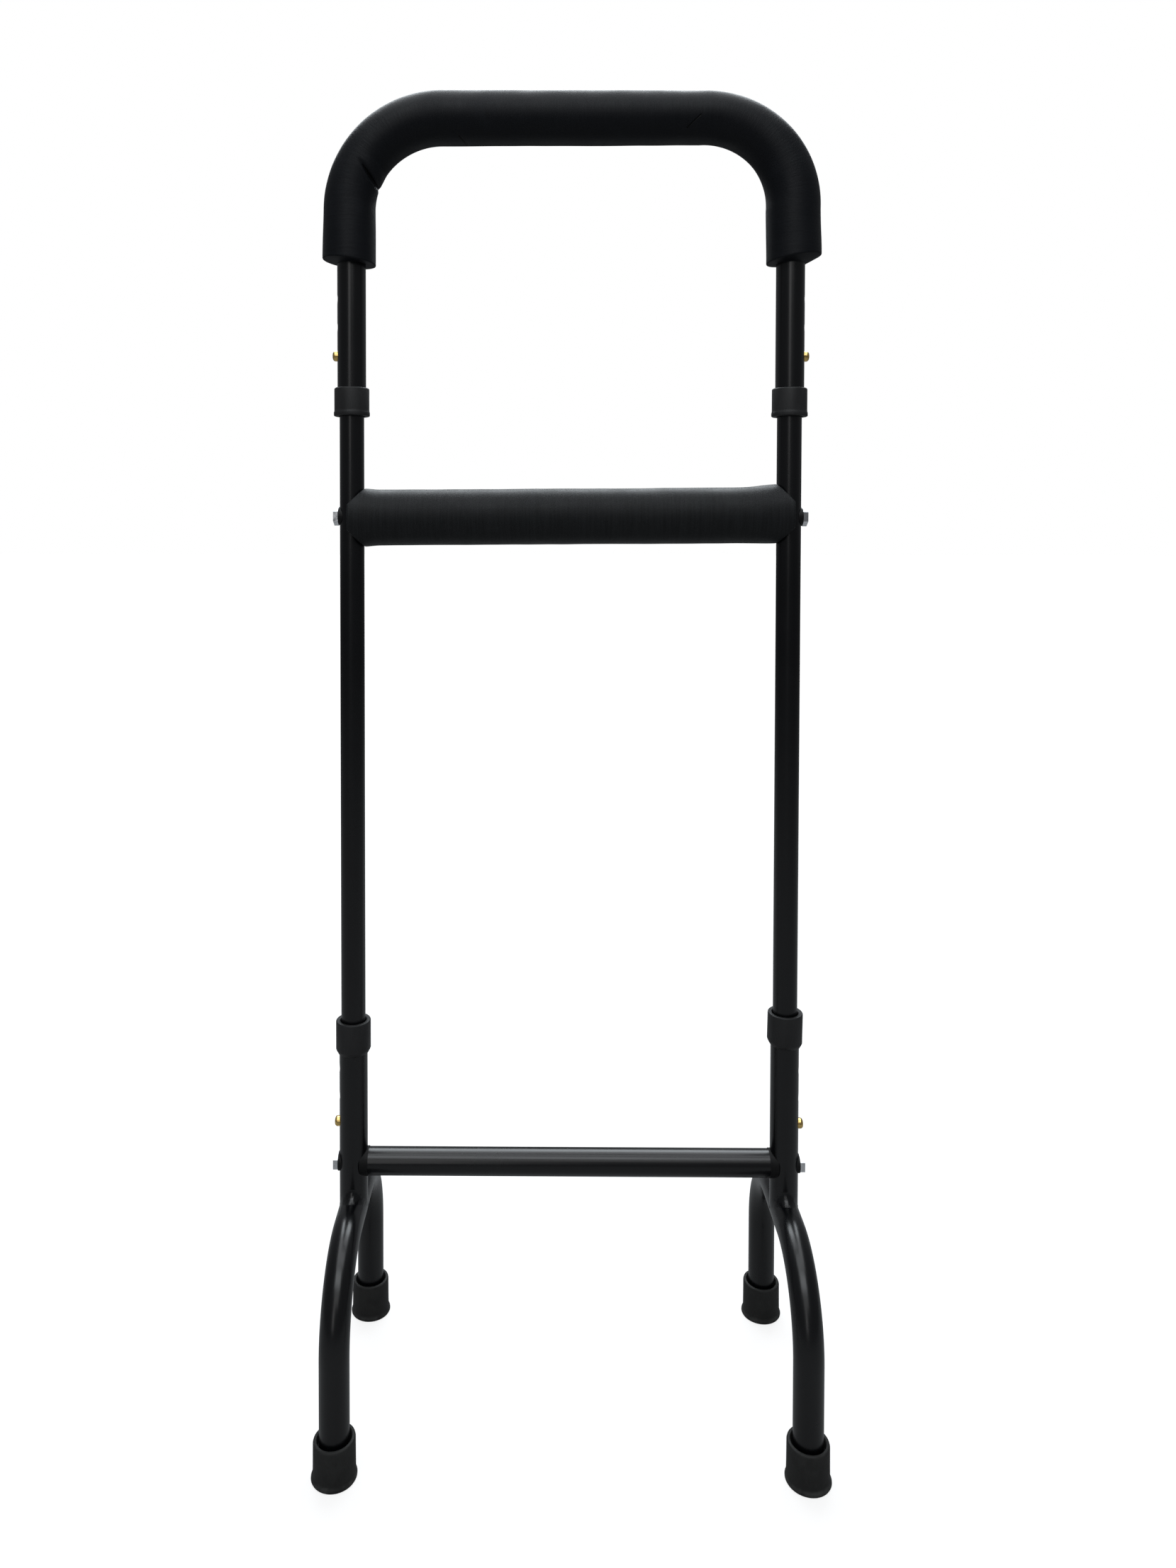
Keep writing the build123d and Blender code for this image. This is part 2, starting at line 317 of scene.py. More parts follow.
def foam_skin(name, colour, low, high, gloss, hoop=0.08, slits=(), width=0.001):
    """Closed-cell foam with a soft skin: pores, hoops left by the extruder, slits painted near-black as
    painted shade in their recesses, and a dusty sheen.
    """
    finish, tree, shader = new_finish(
        name, Sheen_Weight=0.01, Sheen_Roughness=0.4, Specular_IOR_Level=gloss,
    )
    along = add(tree, "ShaderNodeAttribute", {}, attribute_name="unrolled").outputs["Vector"]
    hoops = grain(tree, stretched(tree, along, (620.0, 34.0, 34.0)), 1.0, 3.0, 0.62)
    pores = cells(tree, along, 950.0)
    lumps = grain(tree, along, 90.0, 3.0)
    scuffs = grain(tree, stretched(tree, along, (46.0, 90.0, 90.0)), 1.0, 5.0, 0.66)
    height = summed(tree, summed(tree, hoops, pores, 0.45), lumps, 1.1)
    banded = between(tree, hoops, 0.0, 1.0, 0.25, 0.75)
    skin = mixed(tree, banded, tinted(colour, 1 - hoop), tinted(colour, 1 + hoop))
    wear_and_painted_slit_shade = mixed(tree, between(tree, scuffs, 0.0, 0.75, 0.52, 0.80), skin, tinted(colour, 1.6))
    for slit in slits:
        depth = cut(tree, object_coordinates(tree), *slit, width)
        # painted shade: each slit's recess is painted near-black, as well as being pressed in as a bump
        wear_and_painted_slit_shade = mixed(tree, depth, wear_and_painted_slit_shade, (0.0006, 0.0006, 0.0006))
        height = summed(tree, height, depth, -4.0)
    link(
        tree, shader,
        Base_Color=wear_and_painted_slit_shade,
        Roughness=between(tree, summed(tree, scuffs, pores, 0.2), low, high, 0.35, 0.85),
        Normal=relief(tree, height, 0.00010),
    )
    return finish


def foot_rubber(colour):
    """Charcoal rubber, dusty at the lip that stands on the floor."""
    finish, tree, shader = new_finish("foot rubber", Specular_IOR_Level=0.25)
    at = object_coordinates(tree)
    height = add(tree, "ShaderNodeSeparateXYZ", {"Vector": at}).outputs["Z"]
    clouds = grain(tree, at, 130.0, 4.0, 0.6)
    specks = grain(tree, at, 900.0, 2.0)
    low_down = between(tree, height, 1.0, 0.0, 0.001, 0.0085)
    dust = add(tree, "ShaderNodeMath", {0: low_down, 1: clouds}, operation="MULTIPLY").outputs[0]
    body = mixed(tree, between(tree, clouds, 0.0, 1.0), tinted(colour, 0.82), tinted(colour, 1.22))
    link(
        tree, shader,
        Base_Color=mixed(tree, between(tree, dust, 0.0, 0.8, 0.25, 0.65), body, tinted(colour, 2.6)),
        Roughness=between(tree, clouds, 0.52, 0.68),
        Normal=relief(tree, summed(tree, specks, clouds, 0.9), 0.00007),
    )
    return finish


def moulded_plastic(name, colour, low, high, depth):
    """Injection-moulded plastic with a fine spark-eroded grain."""
    finish, tree, shader = new_finish(name, Specular_IOR_Level=0.27)
    at = object_coordinates(tree)
    flow = grain(tree, stretched(tree, at, (90.0, 90.0, 30.0)), 1.0, 3.0)
    spark = cells(tree, at, 1500.0)
    link(
        tree, shader,
        Base_Color=mixed(tree, between(tree, flow, 0.0, 1.0), tinted(colour, 0.86), tinted(colour, 1.15)),
        Roughness=between(tree, summed(tree, flow, spark, 0.2), low, high, 0.35, 0.8),
        Normal=relief(tree, spark, depth),
    )
    return finish


def plated_metal(name, colour, low, high, scratches):
    """Bright metal with a cloudy plating and fine handling marks."""
    finish, tree, shader = new_finish(name, Metallic=1.0)
    at = object_coordinates(tree)
    clouds = grain(tree, at, 300.0, 3.0)
    marks = grain(tree, stretched(tree, at, (400.0, 2600.0, 700.0)), 1.0, 2.0, 0.6)
    link(
        tree, shader,
        Base_Color=mixed(tree, between(tree, clouds, 0.0, 1.0), tinted(colour, 0.82), tinted(colour, 1.05)),
        Roughness=between(tree, summed(tree, clouds, marks, 0.5), low, high, 0.45, 1.0),
        Normal=relief(tree, marks, scratches),
    )
    return finish


FINISHES = {}


def make_finishes(scene):
    """A finish for each material slot of the frame, and one for the crossbar's rubbed foam."""
    foam, finish = scene.grab_frame_foam, scene.grab_frame_finish
    FINISHES.update(
        black_coat=powder_coat(tuple(finish.coat)),
        foam=foam_skin(
            "foam skin", tuple(foam.colour), 0.42, 0.54, 0.15,
            # the two cuts and the lower part of the fold are painted with shade as slits
            slits=(*CUTS, (FOLD_FOOT, FOLD_FOOT.lerp(FOLD_TIP, 0.72))), width=foam.cut_width,
        ),
        bar_foam=foam_skin("rubbed foam skin", tuple(foam.bar_colour), 0.44, 0.56, 0.15, hoop=0.22),
        foot_rubber=foot_rubber(tuple(finish.rubber)),
        collar_plastic=moulded_plastic("collar plastic", tuple(finish.collar), 0.42, 0.56, 0.00004),
        black_plastic=moulded_plastic("saddle plastic", (0.0016, 0.0016, 0.0018), 0.52, 0.66, 0.00003),
        black_washer=moulded_plastic("washer rubber", (0.0035, 0.0035, 0.0038), 0.45, 0.60, 0.00003),
        bolt_zinc=plated_metal("bolt zinc", tuple(finish.zinc), 0.10, 0.24, 0.000008),
        plain_steel=plated_metal("plain steel", (0.42, 0.41, 0.40), 0.30, 0.48, 0.00001),
        spring_steel=plated_metal("spring steel", (0.35, 0.36, 0.40), 0.22, 0.36, 0.000006),
        brass=plated_metal("button brass", tuple(finish.brass), 0.14, 0.30, 0.000006),
    )


# ---------------------------------------------------------------- shaping


def only(items, kind):
    return [item for item in items if isinstance(item, kind)]


def corners_of(edges):
    return list({corner for edge in edges for corner in edge.verts})


def ring_at(bm, radius, segments, matrix):
    """A circle's edges, ready to be drawn out into a tube."""
    made = bmesh.ops.create_circle(bm, cap_ends=False, segments=segments, radius=radius, matrix=matrix)
    return list({edge for corner in made["verts"] for edge in corner.link_edges})


def run(bm, edges, move, steps):
    """Draws a loop out along a vector and returns the loop at its end."""
    for _ in range(steps):
        made = bmesh.ops.extrude_edge_only(bm, edges=edges)["geom"]
        edges = only(made, bmesh.types.BMEdge)
        bmesh.ops.translate(bm, verts=only(made, bmesh.types.BMVert), vec=Vector(move) / steps)
    return edges


def turn(bm, edges, centre, axis, angle, steps):
    """Draws a loop round a bend and returns the loop at its end."""
    made = bmesh.ops.spin(
        bm, geom=corners_of(edges) + edges, cent=centre, axis=axis, angle=angle, steps=steps,
        dvec=(0, 0, 0), use_merge=False, use_normal_flip=False, use_duplicate=False,
    )
    return only(made["geom_last"], bmesh.types.BMEdge)


def lathe(points, steps, centre):
    """A closed shape turned round the upright line through centre, from (radius, height) points."""
    bm = bmesh.new()
    corners = [bm.verts.new((centre[0] + r, centre[1], centre[2] + z)) for r, z in points]
    edges = [bm.edges.new(pair) for pair in zip(corners, corners[1:])]
    if min(points[0][0], points[-1][0]) > 1e-6:
        edges.append(bm.edges.new((corners[-1], corners[0])))
    bmesh.ops.spin(
        bm, geom=corners + edges, cent=centre, axis=(0, 0, 1), angle=2 * math.pi, steps=steps,
        dvec=(0, 0, 0), use_merge=True, use_normal_flip=False, use_duplicate=False,
    )
    return bm


def smooth_step(value, start, end):
    share = max(0.0, min(1.0, (value - start) / (end - start)))
    return share * share * (3 - 2 * share)


def outward(side, height):
    """The place on a tube line whose local Z points away from the frame."""
    turned = Matrix.Rotation(side * math.pi / 2, 4, "Y")
    return Matrix.Translation((side * LINE_X, 0, height)) @ turned


def place(bm, name, slot, body, replaced, sharp, finish=None):
    """Closes and shades a mesh, gives it its finish and hands it to the frame. sharp is in degrees."""
    bmesh.ops.remove_doubles(bm, verts=bm.verts, dist=1e-6)
    bmesh.ops.dissolve_degenerate(bm, edges=bm.edges, dist=1e-6)
    bmesh.ops.recalc_face_normals(bm, faces=bm.faces)
    mesh = bpy.data.meshes.new(name)
    bm.to_mesh(mesh)
    bm.free()
    mesh.shade_smooth()
    mesh.set_sharp_from_angle(angle=math.radians(sharp))
    mesh.materials.append(FINISHES[finish or slot])
    piece = bpy.data.objects.new(name, mesh)
    bpy.context.scene.collection.objects.link(piece)
    if body:
        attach(piece, body)
    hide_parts(*replaced)
    return piece


def mark_unrolled(piece, straighten):
    """Stores each point's place on the sleeve as if it were straight, for the foam's pattern."""
    values = [part for corner in piece.data.vertices for part in straighten(corner.co)]
    attribute = piece.data.attributes.new("unrolled", "FLOAT_VECTOR", "POINT")
    attribute.data.foreach_set("vector", values)


# ---------------------------------------------------------------- handle foam


def handle_line(point, bend):
    """The handle centreline's nearest point, the distance along it from the left end, and
    how far into a leg it is: 0 along the top and 1 on a leg."""
    side = -1 if point.x < 0 else 1
    corner = Vector((side * (LINE_X - bend), 0, HANDLE_Z - bend))
    leg = corner.z - SLEEVE_END_Z
    arc = bend * math.pi / 2
    top = 2 * (LINE_X - bend)
    if point.z <= corner.z:
        foot = Vector((side * LINE_X, 0, point.z))
        from_end = point.z - SLEEVE_END_Z
        share = 1.0
    elif abs(point.x) <= abs(corner.x):
        foot = Vector((point.x, 0, HANDLE_Z))
        from_end = leg + arc + abs(corner.x) - abs(point.x)
        share = 0.0
    else:
        out = Vector((point.x - corner.x, 0, point.z - corner.z)).normalized()
        angle = math.atan2(out.z, abs(out.x))
        foot = corner + out * bend
        from_end = leg + angle * bend
        share = 1.0 - angle / (math.pi / 2)
    whole = 2 * (leg + arc) + top
    return foot, from_end if side < 0 else whole - from_end, share


def draw_handle_tube(bm, radius, bend, segments, leg_steps, bend_steps, top_steps):
    """A tube's skin along the handle's U. Returns its first and last loops."""
    leg = HANDLE_Z - bend - SLEEVE_END_Z
    start = Matrix.Translation((-LINE_X, 0, SLEEVE_END_Z)) @ Matrix.Rotation(math.pi / 2, 4, "Z")
    first = ring_at(bm, radius, segments, start)
    loop = run(bm, first, (0, 0, leg), leg_steps)
    loop = turn(bm, loop, (bend - LINE_X, 0, HANDLE_Z - bend), (0, 1, 0), math.pi / 2, bend_steps)
    loop = run(bm, loop, (2 * (LINE_X - bend), 0, 0), top_steps)
    loop = turn(bm, loop, (LINE_X - bend, 0, HANDLE_Z - bend), (0, 1, 0), math.pi / 2, bend_steps)
    return first, run(bm, loop, (0, 0, -leg), leg_steps)


def fold_place(point):
    """How far above the left bend's fold a point is, and how strong the fold is there."""
    along = FOLD_TIP - FOLD_FOOT
    across = Vector((along.z, 0, -along.x)).normalized()
    share = (point - FOLD_FOOT).dot(along) / along.length_squared
    strength = (1 - smooth_step(share, 0.30, 1.0)) * (1 - smooth_step(point.y, 6 * MM, 18 * MM))
    return (point - FOLD_FOOT).dot(across), strength


def shape_handle_foam(points, foam):
    """Gives the drawn tube its uneven thickness, cut ends, fold and lump."""
    bend = foam.handle_bend
    # how thick each leg is and how far it stands to the right, first at its bend and then at its end
    leg_fat = {-1: (0.982, 1.008), 1: (1.022, 1.032)}
    leg_shift = {-1: (-1.2 * MM, -1.75 * MM), 1: (1.5 * MM, 2.4 * MM)}
    # how far each bend swings out, and how high and how slanted each end is cut
    bend_out = {-1: 0.0, 1: 2.2 * MM}
    cut_rise = {-1: 1.35 * MM, 1: 3.65 * MM}
    cut_lean = {-1: -0.117, 1: 0.161}
    groove_width, roll_width, roll_above, roll_height = 1.3 * MM, 4.5 * MM, 5.5 * MM, 1.3 * MM
    lump, lump_width, lump_height = Vector((115, -9, 985)) * MM, 8.5 * MM, 1.1 * MM
    for corner in points:
        at = corner.co.copy()
        foot, _, on_leg = handle_line(at, bend)
        side = -1 if at.x < 0 else 1
        out = (at - foot).normalized()
        share = smooth_step(on_leg, 0.0, 1.0)
        down = smooth_step(HANDLE_Z - bend - at.z, -8 * MM, 44 * MM)
        fat_top = 0.991 - 0.13 * at.x
        fat_leg = leg_fat[side][0] + down * (leg_fat[side][1] - leg_fat[side][0])
        fat = fat_top + share * (fat_leg - fat_top)
        wander = noise.noise(at * 17.0) + 0.35 * noise.noise(at * 55.0)
        radius = (at - foot).length * fat + foam.swell * wander
        moved = foot + out * radius
        moved.x += (leg_shift[side][0] + down * (leg_shift[side][1] - leg_shift[side][0])) * share
        swing = 4 * on_leg * (1 - on_leg)
        moved += Vector((side * 0.7071, 0, 0.7071)) * bend_out[side] * swing
        if at.z < HANDLE_Z - bend:
            near_end = 1.0 - smooth_step(at.z, SLEEVE_END_Z, SLEEVE_END_Z + 30 * MM)
            across = at.x - side * LINE_X
            moved.z += near_end * (cut_rise[side] + cut_lean[side] * across)
        # the fold inside the left bend with the soft roll above it, and the lump by the right bend
        if side < 0 and on_leg > 0.01:
            above, strength = fold_place(moved)
            groove = math.exp(-((above / groove_width) ** 2))
            roll = math.exp(-(((above - roll_above) / roll_width) ** 2))
            facing = 0.3 + 0.7 * smooth_step(-out.y, 0.0, 0.6)
            moved += out * strength * facing * (roll_height * roll - foam.crease_depth * groove)
        moved += out * lump_height * math.exp(-(((moved - lump).length / lump_width) ** 2))
        corner.co = moved


class GRABFRAME_OT_handle_foam(bpy.types.Operator):
    """Draw the foam sleeve round the handle, with its fold, lump and cut ends"""

    bl_idname = "grabframe.handle_foam"
    bl_label = "Handle Foam"

    def execute(self, context):
        foam = context.scene.grab_frame_foam
        bend = foam.handle_bend
        segments = 128
        bm = bmesh.new()
        skin = draw_handle_tube(bm, SLEEVE_R, bend, segments, 30, 130, 130)
        shape_handle_foam(list(bm.verts), foam)
        bore = draw_handle_tube(bm, OUTER_R + SNUG, bend, segments, 1, 24, 1)
        for outer_loop, inner_loop in zip(skin, bore):
            bmesh.ops.bridge_loops(bm, edges=outer_loop + inner_loop)
        rims = [edge for loop in skin for edge in loop]
        bmesh.ops.bevel(
            bm, geom=rims + corners_of(rims), offset=0.7 * MM, segments=2, profile=0.5,
            affect="EDGES", material=-1,
        )
        piece = place(bm, "handle_foam_sleeve", "foam", "handle", ["handle_foam"], 50.0)

        def straighten(point):
            foot, along, _ = handle_line(point, bend)
            return along, (point - foot).length, point.y

        mark_unrolled(piece, straighten)
        return {"FINISHED"}


# ---------------------------------------------------------------- crossbar foam


def bar_reach(height, foam):
    """How far from the middle the crossbar foam reaches, at a height above or below its axis."""
    corner, past_line = 10.2 * MM, 1.2 * MM
    slope = foam.bar_cut / (BAR_R - corner)
    return LINE_X + past_line - max(0.0, abs(height) - corner) * slope


def shape_crossbar_foam(points, foam):
    """Flares the ends, cuts them to lap the uprights, and lets the skin wander a little."""
    # how far each end flares above and below, and from how far in
    top_flare = {-1: 1.0 * MM, 1: 2.2 * MM}
    low_flare = {-1: 0.9 * MM, 1: 0.1 * MM}
    flare_length = {-1: 16 * MM, 1: 34 * MM}
    # the last loops are gathered, or spread, to reach the slanted cut
    gathered = 26 * MM
    begin = BAR_END_X - gathered
    edge_round, edge_length = 1.1 * MM, 1.6 * MM
    for corner in points:
        at = corner.co.copy()
        side = -1 if at.x < 0 else 1
        far = abs(at.x)
        out = Vector((0, at.y, at.z - BAR_Z)).normalized()
        reach = bar_reach(out.z * BAR_R, foam)
        if far > begin:
            share = (far - begin) / gathered
            share += 0.45 * share * (1 - share)
            far = begin + share * (reach - begin)
        peak = LINE_X - INNER_R
        rise = smooth_step(far, peak - flare_length[side], peak) ** 1.6
        flare = top_flare[side] * max(out.z, 0.0) ** 1.5 + low_flare[side] * max(-out.z, 0.0) ** 1.5
        rounded = edge_round * smooth_step(far, reach - edge_length, reach) ** 2
        radius = BAR_R + rise * flare - rounded
        radius += foam.swell * (noise.noise(at * 16.0) + 0.4 * noise.noise(at * 60.0))
        corner.co = Vector((side * far, out.y * radius, BAR_Z + out.z * radius + BAR_LEAN * at.x))
    wrap_uprights(points)


def wrap_uprights(points):
    """Brings back whatever reaches into an upright to the upright's surface."""
    for corner in points:
        side = -1 if corner.co.x < 0 else 1
        if abs(corner.co.y) < CLEAR_R:
            near = LINE_X - math.sqrt(CLEAR_R ** 2 - corner.co.y ** 2)
            if abs(corner.co.x) > near:
                corner.co.x = side * near


def shape_lip(points, side, foam):
    """Lays a ring of the foam's end face flat beside the upright, and along it above and below."""
    drawn_in, lowered = 0.8, 0.86
    for corner in points:
        across, height = corner.co.y, corner.co.z - BAR_Z
        if abs(across) > CLEAR_R:
            across = math.copysign(CLEAR_R + 0.1 * MM, across)
            reach = bar_reach(height, foam) - 0.2 * MM
        else:
            across *= drawn_in
            reach = LINE_X - math.sqrt(CLEAR_R ** 2 - across ** 2)
        corner.co = Vector((side * reach, across, BAR_Z + lowered * height + BAR_LEAN * side * reach))


class GRABFRAME_OT_crossbar_foam(bpy.types.Operator):
    """Draw the crossbar's foam sleeve, whose ends lap the uprights"""

    bl_idname = "grabframe.crossbar_foam"
    bl_label = "Crossbar Foam"

    def execute(self, context):
        foam = context.scene.grab_frame_foam
        segments = 128
        end_length = 36 * MM
        bm = bmesh.new()
        along_x = Matrix.Rotation(math.pi / 2, 4, "Y")
        start = Matrix.Translation((-BAR_END_X, 0, BAR_Z)) @ along_x
        first = ring_at(bm, BAR_R, segments, start)
        loop = run(bm, first, (end_length, 0, 0), 64)
        loop = run(bm, loop, (2 * (BAR_END_X - end_length), 0, 0), 130)
        last = run(bm, loop, (end_length, 0, 0), 64)
        shape_crossbar_foam(list(bm.verts), foam)
        bore_first = ring_at(bm, INNER_R + SNUG, segments, start)
        bore_last = run(bm, bore_first, (2 * BAR_END_X, 0, 0), 1)
        wrap_uprights(corners_of(bore_first + bore_last))
        for skin, bore, side in ((first, bore_first, -1), (last, bore_last, 1)):
            lip = ring_at(bm, BAR_R, segments, Matrix.Translation((side * BAR_END_X, 0, BAR_Z)) @ along_x)
            shape_lip(corners_of(lip), side, foam)
            bmesh.ops.bridge_loops(bm, edges=skin + lip)
            bmesh.ops.bridge_loops(bm, edges=lip + bore)
        piece = place(
            bm, "crossbar_foam_sleeve", "foam", "middle_frame", ["crossbar_foam"], 50.0, "bar_foam",
        )
        mark_unrolled(piece, lambda point: (point.x, point.y, point.z - BAR_Z))
        return {"FINISHED"}


# ---------------------------------------------------------------- feet, collars, bolts


class GRABFRAME_OT_feet(bpy.types.Operator):
    """Turn the four rubber feet, each sitting a little askew on its leg"""

    bl_idname = "grabframe.feet"
    bl_label = "Rubber Feet"

    def execute(self, context):
        bore, floor = OUTER_R + SNUG, 5.5 * MM
        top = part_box("foot_front_left")[1].z
        profile = (
            (0.0, 0.0009), (0.0049, 0.0009), (0.0053, 0.0), (0.0084, 0.0), (0.0088, 0.0009),
            (0.0118, 0.0009), (0.0122, 0.0), (0.0156, 0.0), (0.0163, 0.0003), (0.0167, 0.0010),
            (0.0167, 0.0020), (0.0163, 0.0030), (0.0157, 0.0038), (0.0156, 0.0050), (0.0155, 0.0120),
            (0.0154, top - 0.0016), (0.0151, top - 0.0005), (0.0145, top), (0.0131, top),
            (0.0127, top - 0.0004), (0.0125, top - 0.0012), (0.0122, top - 0.0060),
            (bore, top - 0.0072), (bore, floor), (0.0, floor),
        )
        lip_shift = 0.25 * MM
        # how far each rim is higher to the right and to the back, per metre across
        leans = {
            "front_left": (0.055, 0.01), "front_right": (-0.03, 0.02),
            "rear_left": (0.02, -0.01), "rear_right": (-0.03, 0.015),
        }
        for end, way in ENDS.items():
            for hand, side in SIDES.items():
                centre = Vector((side * LINE_X, way * FOOT_Y, 0.0))
                bm = lathe(profile, 72, tuple(centre))
                lean = leans[f"{end}_{hand}"]
                for corner in bm.verts:
                    across = corner.co - centre
                    if across.to_2d().length < bore + 0.4 * MM:
                        continue
                    height = smooth_step(across.z, 2 * MM, top)
                    corner.co.z += height * (lean[0] * across.x + lean[1] * across.y)
                    lip = 1.0 - smooth_step(across.z, 0.0, 4 * MM)
                    corner.co.x -= lip_shift * lip * side * way
                name = f"foot_{end}_{hand}"
                place(bm, f"rubber_{name}", "foot_rubber", "base", [name], 42.0)
        return {"FINISHED"}


class GRABFRAME_OT_collars(bpy.types.Operator):
    """Turn the four plastic collars on the ends of the outer tubes"""

    bl_idname = "grabframe.collars"
    bl_label = "Collars"

    def execute(self, context):
        bore = OUTER_R + SNUG
        gap = INNER_R + 0.75 * MM
        for hand, side in SIDES.items():
            name = f"upper_collar_{hand}"
            low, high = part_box(name)
            height = high.z - low.z
            profile = (
                (0.0105, 0.0), (0.0134, 0.0), (0.01385, 0.0003), (0.0140, 0.0008), (0.0140, 0.0026),
                (0.0139, 0.0032), (0.01365, 0.0037), (0.0136, 0.0050), (0.0136, height - 0.0012),
                (0.0134, height - 0.0005), (0.0129, height - 0.0001), (0.0124, height),
                (0.0116, height), (bore, height - 0.0004), (bore, 0.0030), (gap, 0.0030), (gap, 0.0006),
            )
            bm = lathe(profile, 64, (side * LINE_X, 0, low.z))
            place(bm, f"upper_cap_{hand}", "collar_plastic", "handle", [name], 40.0)

            name = f"lower_collar_{hand}"
            low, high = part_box(name)
            height = high.z - low.z
            profile = (
                (bore, 0.0), (0.0116, 0.0), (0.0120, 0.0002), (0.0134, 0.0028), (0.0137, 0.0036),
                (0.0137, height - 0.0012), (0.0136, height - 0.0005), (0.0133, height - 0.0001),
                (0.0129, height), (gap + 0.0009, height), (gap + 0.0003, height - 0.0002),
                (gap, height - 0.0008), (gap, height - 0.0030), (bore, height - 0.0030),
            )
            bm = lathe(profile, 64, (side * LINE_X, 0, low.z))
            if side > 0:
                self.tilt(bm, Vector((LINE_X, 0, low.z)), height, bore)
            place(bm, f"lower_cap_{hand}", "collar_plastic", "base", [name], 40.0)
        return {"FINISHED"}

    def tilt(self, bm, base, height, bore):
        """Leans the right collar's skin and lower edge, as it sits askew on its post."""
        slant, sway = 0.10, 0.5 * MM
        for corner in bm.verts:
            across = corner.co - base
            if across.to_2d().length < bore + 0.2 * MM:
                continue
            share = across.z / height
            corner.co.z -= slant * across.x * (1.0 - share)
            corner.co.x += sway * (share - 0.5)


def weld_point(side, step, row):
    """A point of a weld, measured from where its post meets the arch's axis."""
    tube, fillet, buried = OUTER_R, 8.5 * MM, 0.7 * MM
    ripple, crown, sunk, raised = 0.22 * MM, 0.16 * MM, 0.05 * MM, 0.8 * MM
    angle = 2 * math.pi * step / WELD_STEPS
    across, along = math.cos(angle), math.sin(angle)
    if row > WELD_ROWS:
        reach = tube - buried
        return Vector((reach * across, reach * along, reach * abs(along)))
    # the surface of a ball rolled along the corner between post and arch
    share = row / WELD_ROWS
    reach = tube + fillet
    centre = Vector((reach * across, reach * along, reach * abs(along)))
    to_post = Vector((-across, -along, 0.0))
    to_arch = Vector((-across, 0.0, -abs(along)))
    facing = (to_post * (1 - share) + to_arch * share).normalized()
    wave = ripple * noise.noise(Vector((side * 3, step * 0.45, row * 0.6)))
    proud = (crown + wave) * math.sin(math.pi * share) - sunk
    point = centre + facing * (fillet - proud)
    point.z += (0.5 - share) * raised
    return point


class GRABFRAME_OT_welds(bpy.types.Operator):
    """Run the smooth welds round the feet of the two posts"""

    bl_idname = "grabframe.welds"
    bl_label = "Welds"

    def execute(self, context):
        arch_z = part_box("base_arch_right")[1].z - OUTER_R
        for hand, side in SIDES.items():
            bm = bmesh.new()
            post = Vector((side * LINE_X, 0, arch_z))
            loops = []
            for row in range(WELD_ROWS + 2):
                loop = [bm.verts.new(weld_point(side, step, row) + post) for step in range(WELD_STEPS)]
                loops.append([bm.edges.new(pair) for pair in zip(loop, loop[1:] + loop[:1])])
            for first, second in zip(loops, loops[1:] + loops[:1]):
                bmesh.ops.bridge_loops(bm, edges=first + second)
            place(bm, f"smooth_weld_{hand}", "black_coat", "base", [f"post_weld_{hand}"], 60.0)
        return {"FINISHED"}


def hexagon_bolt(length):
    """A bolt standing on its shank: washer face down at height 0, chamfered head above."""
    flats, head, shank_r = 6.5 * MM, 3.7 * MM, 3.95 * MM
    crown_r, chamfer = flats * 0.95, math.radians(30)
    bm = bmesh.new()
    bmesh.ops.create_circle(
        bm, cap_ends=True, segments=6, radius=flats / math.cos(math.pi / 6),
        matrix=Matrix.Rotation(math.pi / 2, 4, "Z"),
    )
    bmesh.ops.subdivide_edges(bm, edges=bm.edges[:], cuts=7, use_grid_fill=False)
    base = bm.faces[:]
    made = bmesh.ops.extrude_face_region(bm, geom=base, use_keep_orig=True)["geom"]
    bmesh.ops.translate(bm, verts=only(made, bmesh.types.BMVert), vec=(0, 0, head))
    crown = only(made, bmesh.types.BMFace)
    rim = [corner for face in crown for corner in face.verts]
    bmesh.ops.inset_region(bm, faces=crown, thickness=0.5 * MM, depth=0.0)
    inner = [corner for face in crown for corner in face.verts]
    for corner in inner:
        scale = crown_r / corner.co.to_2d().length
        corner.co = Vector((corner.co.x * scale, corner.co.y * scale, head))
    for corner in rim:
        drop = (corner.co.to_2d().length - crown_r) * math.tan(chamfer)
        corner.co.z -= max(0.0, drop)
    bmesh.ops.inset_region(bm, faces=base, thickness=1.2 * MM, depth=0.0)
    for corner in {corner for face in base for corner in face.verts}:
        corner.co = corner.co.normalized() * shank_r
    made = bmesh.ops.extrude_face_region(bm, geom=base)["geom"]
    bmesh.ops.translate(bm, verts=only(made, bmesh.types.BMVert), vec=(0, 0, -length))
    return bm


class GRABFRAME_OT_bolts(bpy.types.Operator):
    """Make the four hexagon bolts, with their washer faces and chamfered heads"""

    bl_idname = "grabframe.bolts"
    bl_label = "Hexagon Bolts"

    def execute(self, context):
        washer, beyond_seat = 0.8 * MM, 4.5 * MM
        levels = (("lower", OUTER_R, "base"), ("upper", INNER_R, "middle_frame"))
        for hand, side in SIDES.items():
            for level, tube_r, body in levels:
                name = f"{level}_bolt_{hand}"
                low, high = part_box(name)
                bm = hexagon_bolt(high.x - low.x - beyond_seat)
                seat = Matrix.Translation((0, 0, tube_r + washer))
                bmesh.ops.transform(bm, verts=bm.verts, matrix=outward(side, middle(name).z) @ seat)
                place(bm, f"hexagon_{name}", "bolt_zinc", body, [name], 25.0)
        return {"FINISHED"}


# ---------------------------------------------------------------- springs


